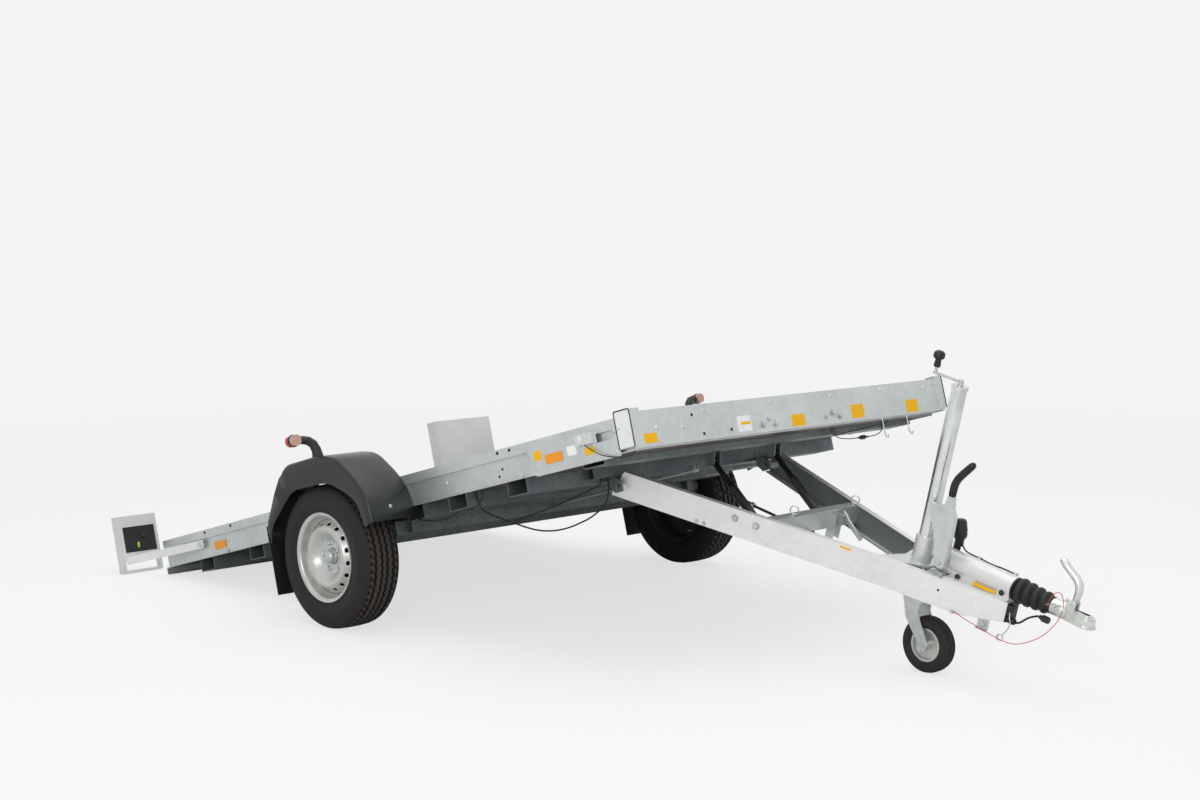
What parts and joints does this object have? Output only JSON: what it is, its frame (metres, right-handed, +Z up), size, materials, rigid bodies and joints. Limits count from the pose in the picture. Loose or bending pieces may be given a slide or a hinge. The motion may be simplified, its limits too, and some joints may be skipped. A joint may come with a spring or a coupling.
{
  "type": "tilt-bed trailer",
  "caption": "Single-axle tilt-bed trailer tipped back onto its tail edge, with a V drawbar, gas struts, an overrun coupling, a hand brake and a support wheel.",
  "frame": {"origin": "on the ground, in the middle of the bounding box's length and width", "axes": "+X forward to the coupling, +Y to the left, +Z up; the bed is tipped back with its tail edge on the ground"},
  "size_m": [4.9138, 2.581, 1.2527],
  "materials": {
    "galvanised_steel": "dull hot-dip galvanised sheet with a faint spangle",
    "brown_plywood": "dark brown film-faced plywood",
    "dark_galvanised": "weathered galvanised steel in shade",
    "black_plastic": "black moulded plastic, slightly grained",
    "black_rubber": "matt black rubber",
    "clear_lens": "clear lamp plastic",
    "red_lens": "red lamp plastic",
    "amber_lens": "amber reflector plastic",
    "pale_sheet": "smooth pale grey sheet",
    "tyre_rubber": "road tyre rubber",
    "rim_silver": "bright silver wheel paint",
    "black_steel": "satin black paint",
    "chrome_rod": "polished steel",
    "silver_casting": "smooth silver-grey paint on cast and welded steel",
    "red_sheath": "red plastic sheath"
  },
  "bodies": {
    "bed": {"side_rail_right": "galvanised_steel", "side_rail_left": "galvanised_steel", "front_panel": "galvanised_steel", "corner_posts": "galvanised_steel", "floor_panel": "brown_plywood", "tail_beam": "dark_galvanised", "cross_channels": "dark_galvanised", "strut_brackets": "dark_galvanised", "hinge_beam": "galvanised_steel", "axle": "galvanised_steel", "trailing_arms": "dark_galvanised", "fender_right": "black_plastic", "fender_left": "black_plastic", "mud_flaps": "black_rubber", "marker_arms": "black_rubber", "marker_lenses_white": "clear_lens", "marker_lenses_red": "red_lens", "front_lamps": "clear_lens", "side_reflectors": "amber_lens", "stop_plate": "pale_sheet", "deck_cables": "black_rubber"},
    "wheel_right": {"tyre_right": "tyre_rubber", "rim_right": "rim_silver"},
    "wheel_left": {"tyre_left": "tyre_rubber", "rim_left": "rim_silver"},
    "light_arm_right": {"board_arm_right": "galvanised_steel", "light_board_right": "pale_sheet", "tail_lamp_right": "black_plastic"},
    "light_arm_left": {"board_arm_left": "galvanised_steel", "light_board_left": "pale_sheet", "tail_lamp_left": "black_plastic"},
    "drawbar": {"drawbar_beam_right": "galvanised_steel", "drawbar_beam_left": "galvanised_steel", "hinge_bosses": "galvanised_steel", "drawbar_cross": "galvanised_steel", "overrun_housing": "silver_casting", "bellows": "black_rubber", "brake_foot": "galvanised_steel", "plug_holder": "black_plastic", "column_clamp": "galvanised_steel", "jockey_outer_tube": "galvanised_steel", "plug_lead": "black_rubber", "tow_lead": "black_rubber", "tow_plug": "black_plastic", "breakaway_cord": "red_sheath", "cord_clips": "red_sheath"},
    "strut_cylinders": {"strut_barrels": "black_steel"},
    "strut_tubes": {"strut_rods": "chrome_rod"},
    "latch": {"latch_lever": "galvanised_steel"},
    "coupling": {"drawtube": "silver_casting", "coupling_head": "silver_casting"},
    "handle": {"coupling_handle": "silver_casting"},
    "hand_brake": {"brake_lever": "silver_casting", "brake_grip": "black_plastic"},
    "jockey_tube": {"jockey_inner_tube": "galvanised_steel"},
    "jockey_swivel": {"jockey_fork": "galvanised_steel"},
    "jockey_wheel": {"jockey_rim": "rim_silver", "jockey_tyre": "tyre_rubber"},
    "crank": {"crank_arm": "galvanised_steel", "crank_knob": "black_plastic"}
  },
  "joints": [
    {"name": "wheel_spin_right", "type": "hinge", "parent": "bed", "child": "wheel_right", "pos_m": [-0.59767, -1.085, 0.314], "axis": [0, 1, 0], "continuous": true},
    {"name": "wheel_spin_left", "type": "hinge", "parent": "bed", "child": "wheel_left", "pos_m": [-0.59767, 1.085, 0.314], "axis": [0, 1, 0], "continuous": true},
    {"name": "light_arm_right_lift", "type": "hinge", "parent": "bed", "child": "light_arm_right", "pos_m": [-1.89878, -0.97, 0.19026], "axis": [0, 1, 0], "range_deg": [0, 60]},
    {"name": "light_arm_left_lift", "type": "hinge", "parent": "bed", "child": "light_arm_left", "pos_m": [-1.89878, 0.97, 0.19026], "axis": [0, 1, 0], "range_deg": [0, 60]},
    {"name": "bed_fold", "type": "hinge", "parent": "bed", "child": "drawbar", "pos_m": [0.53649, 0, 0.66071], "axis": [0, -1, 0], "range_deg": [0, 28.8]},
    {"name": "strut_turn", "type": "hinge", "parent": "drawbar", "child": "strut_cylinders", "pos_m": [1.05503, 0, 0.48824], "axis": [0, -1, 0], "range_deg": [0, 15.1]},
    {"name": "strut_run", "type": "slide", "parent": "strut_cylinders", "child": "strut_tubes", "axis": [-0.7246, 0, 0.6891], "range_m": [-0.0902, 0]},
    {"name": "latch_turn", "type": "hinge", "parent": "drawbar", "child": "latch", "pos_m": [1.18808, 0, 0.53709], "axis": [0, -1, 0], "range_deg": [0, 30]},
    {"name": "overrun_slide", "type": "slide", "parent": "drawbar", "child": "coupling", "axis": [-0.9694, 0, 0.2453], "range_m": [0, 0.09], "deforming": ["bellows"]},
    {"name": "handle_lift", "type": "hinge", "parent": "coupling", "child": "handle", "pos_m": [2.36097, 0, 0.36203], "axis": [0, 1, 0], "range_deg": [0, 35]},
    {"name": "brake_pull", "type": "hinge", "parent": "drawbar", "child": "hand_brake", "pos_m": [1.81649, 0, 0.45235], "axis": [0, 1, 0], "range_deg": [0, 62]},
    {"name": "jockey_lift", "type": "slide", "parent": "drawbar", "child": "jockey_tube", "axis": [-0.2453, 0, -0.9694], "range_m": [0, 0.15]},
    {"name": "jockey_swivel_turn", "type": "hinge", "parent": "jockey_tube", "child": "jockey_swivel", "pos_m": [1.66783, 0, 0.37444], "axis": [0.2453, 0, 0.9694], "continuous": true},
    {"name": "jockey_wheel_spin", "type": "hinge", "parent": "jockey_swivel", "child": "jockey_wheel", "pos_m": [1.72264, 0, 0.11], "axis": [0, 1, 0], "continuous": true},
    {"name": "crank_turn", "type": "hinge", "parent": "drawbar", "child": "crank", "pos_m": [1.85304, 0, 1.10637], "axis": [0.2453, 0, 0.9694], "range_deg": [0, 9000]}
  ],
  "couplings": [
    {"joint": "strut_turn", "follows": "bed_fold", "ratio": 0.5148},
    {"joint": "strut_run", "follows": "bed_fold", "m_per_rad": -0.1774},
    {"joint": "jockey_lift", "follows": "crank_turn", "m_per_rad": 0.0009549}
  ]
}
